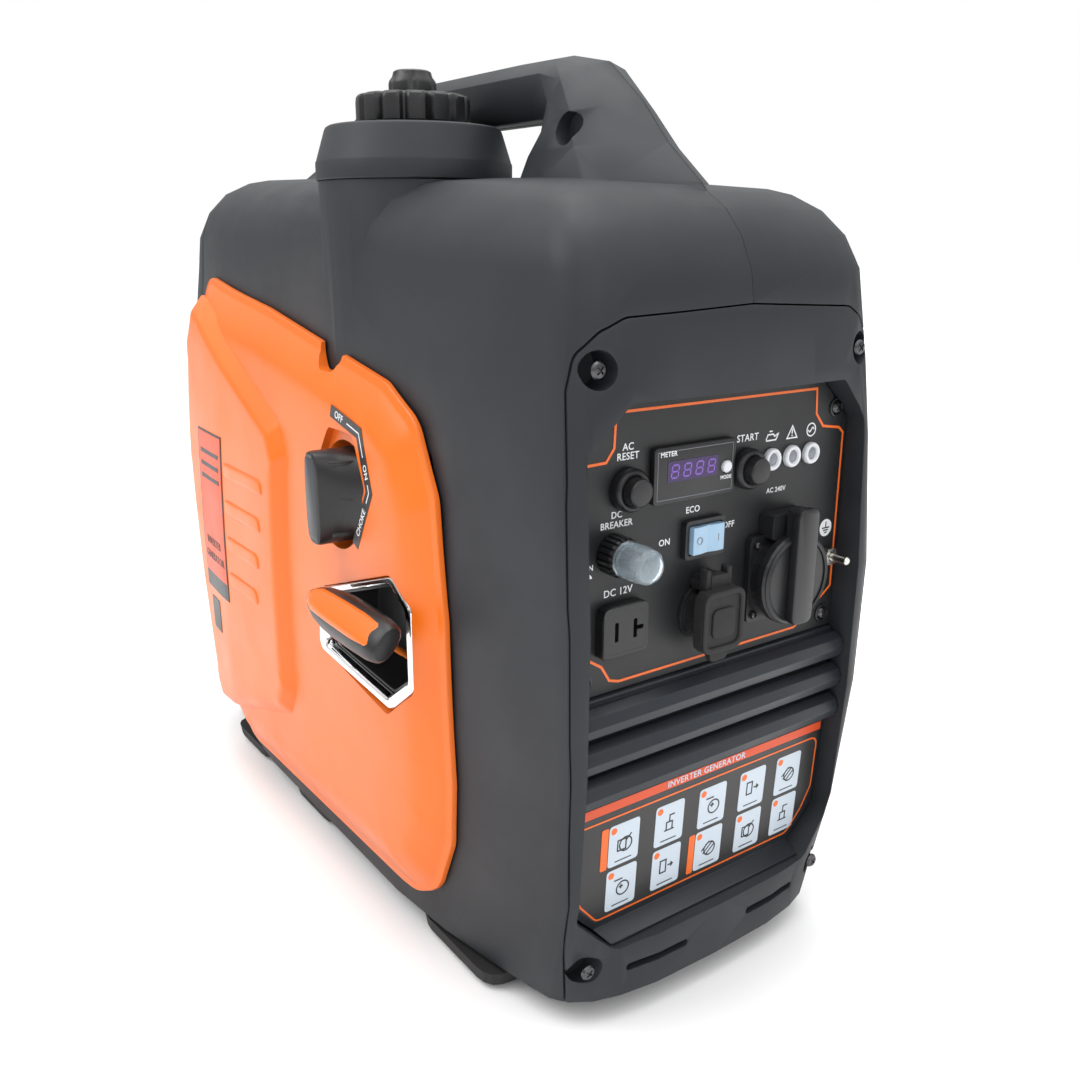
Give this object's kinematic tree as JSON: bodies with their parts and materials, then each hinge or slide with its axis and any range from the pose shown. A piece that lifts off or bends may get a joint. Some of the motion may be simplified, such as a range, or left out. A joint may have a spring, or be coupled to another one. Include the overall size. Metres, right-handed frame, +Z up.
{
  "type": "portable generator",
  "caption": "Suitcase-style portable inverter generator with moulded covers, carrying handle, fuel filler on top, pull starter on one side and control panel with sockets at the front end",
  "frame": {"origin": "middle of the footprint, on the ground under the feet", "axes": "+Z up, control panel at the -Y end, starter side at -X"},
  "size_m": [0.2887, 0.5097, 0.482],
  "materials": {
    "dark_plastic": "fine-grained dark grey moulded plastic",
    "black_plastic": "satin black moulded plastic",
    "orange_plastic": "satin orange moulded plastic",
    "rubber": "black rubber",
    "bright_plating": "bright plated trim",
    "cast_aluminium": "cast aluminium",
    "steel": "plain steel",
    "lamp_white": "white lamp lens",
    "meter_grey": "dark smoked plastic",
    "clear_plastic": "clear moulded plastic",
    "pale_blue_plastic": "translucent pale blue plastic"
  },
  "bodies": {
    "case": {"air_filter_box": "black_plastic", "base_tray": "dark_plastic", "breaker_cap": "clear_plastic", "breaker_collar": "black_plastic", "carburettor": "cast_aluminium", "control_panel": "black_plastic", "crankcase": "cast_aluminium", "cylinder": "cast_aluminium", "dc_outlet": "black_plastic", "dc_socket": "black_plastic", "earth_bolt": "steel", "earth_nut": "steel", "eco_frame": "black_plastic", "filler_collar": "dark_plastic", "foot_front_left": "rubber", "foot_front_right": "rubber", "foot_middle_left": "rubber", "foot_middle_right": "rubber", "foot_rear_left": "rubber", "foot_rear_right": "rubber", "front_bezel": "dark_plastic", "fuel_tank": "black_plastic", "head_cover": "cast_aluminium", "inverter_module": "cast_aluminium", "lamp_oil": "lamp_white", "lamp_output": "lamp_white", "lamp_overload": "lamp_white", "left_cover": "dark_plastic", "left_panel": "orange_plastic", "louvre_panel": "dark_plastic", "mains_socket": "black_plastic", "meter": "meter_grey", "muffler": "steel", "oil_filler_cap": "black_plastic", "rear_cover": "dark_plastic", "recoil_housing": "cast_aluminium", "reset_collar": "black_plastic", "right_cover": "dark_plastic", "right_panel": "orange_plastic", "spark_plug": "black_plastic", "start_collar": "black_plastic", "starter_cup": "black_plastic", "starter_surround": "bright_plating", "starting_battery": "black_plastic", "stator": "steel"},
    "starter_handle": {"starter_grip": "black_plastic", "starter_rope": "orange_plastic"},
    "starter_pulley": {"recoil_pulley": "black_plastic"},
    "crankshaft": {"flywheel": "cast_aluminium"},
    "filler_plug": {"cap_plug": "black_plastic"},
    "filler_cap": {"fuel_cap": "dark_plastic"},
    "filler_vent": {"vent_knob": "dark_plastic"},
    "switch_knob": {"engine_switch": "black_plastic"},
    "reset_push": {"reset_button": "black_plastic"},
    "start_push": {"start_button": "black_plastic"},
    "mode_push": {"mode_button": "lamp_white"},
    "breaker_push": {"breaker_button": "meter_grey"},
    "economy_rocker": {"eco_rocker": "pale_blue_plastic"},
    "mains_cover": {"mains_lid": "black_plastic"},
    "dc_cover": {"dc_socket_cover": "rubber"}
  },
  "joints": [
    {"name": "starter_pull", "type": "slide", "parent": "case", "child": "starter_handle", "axis": [-0.766, 0, 0.6428], "range_m": [0, 0.6]},
    {"name": "pulley_turn", "type": "hinge", "parent": "case", "child": "starter_pulley", "pos_m": [0.00835, -0.09905, 0.12637], "axis": [0, 1, 0], "range_deg": [-906, 0]},
    {"name": "crankshaft_turn", "type": "hinge", "parent": "case", "child": "crankshaft", "pos_m": [0.00835, -0.07305, 0.12637], "axis": [0, 1, 0], "continuous": true},
    {"name": "cap_lift", "type": "slide", "parent": "case", "child": "filler_plug", "axis": [0, 0, 1], "range_m": [0, 0.06]},
    {"name": "cap_turn", "type": "hinge", "parent": "filler_plug", "child": "filler_cap", "pos_m": [-0.04665, -0.02905, 0.449], "axis": [0, 0, 1], "range_deg": [0, 120]},
    {"name": "vent_turn", "type": "hinge", "parent": "filler_cap", "child": "filler_vent", "pos_m": [-0.04665, -0.02905, 0.4643], "axis": [0, 0, 1], "range_deg": [0, 90]},
    {"name": "switch_turn", "type": "hinge", "parent": "case", "child": "switch_knob", "pos_m": [-0.10165, -0.05805, 0.2525], "axis": [1, 0, 0], "range_deg": [0, 138]},
    {"name": "reset_press", "type": "slide", "parent": "case", "child": "reset_push", "axis": [0, 1, 0], "range_m": [0, 0.003], "stiffness_N_per_m": 300},
    {"name": "start_press", "type": "slide", "parent": "case", "child": "start_push", "axis": [0, 1, 0], "range_m": [0, 0.003], "stiffness_N_per_m": 300},
    {"name": "mode_press", "type": "slide", "parent": "case", "child": "mode_push", "axis": [0, 1, 0], "range_m": [0, 0.001], "stiffness_N_per_m": 300},
    {"name": "breaker_travel", "type": "slide", "parent": "case", "child": "breaker_push", "axis": [0, 1, 0], "range_m": [-0.006, 0.0015]},
    {"name": "economy_tilt", "type": "hinge", "parent": "case", "child": "economy_rocker", "pos_m": [-0.00345, -0.22825, 0.25], "axis": [0, 0, 1], "range_deg": [-8, 8]},
    {"name": "mains_lid_open", "type": "hinge", "parent": "case", "child": "mains_cover", "pos_m": [0.05135, -0.23725, 0.2598], "axis": [-1, 0, 0], "range_deg": [0, 100], "stiffness_Nm_per_rad": 0.02},
    {"name": "dc_cover_open", "type": "hinge", "parent": "case", "child": "dc_cover", "pos_m": [-0.00215, -0.23405, 0.2337], "axis": [-1, 0, 0], "range_deg": [0, 100], "stiffness_Nm_per_rad": 0.01}
  ],
  "couplings": [
    {"joint": "pulley_turn", "follows": "starter_pull", "rad_per_m": -26.316}
  ]
}
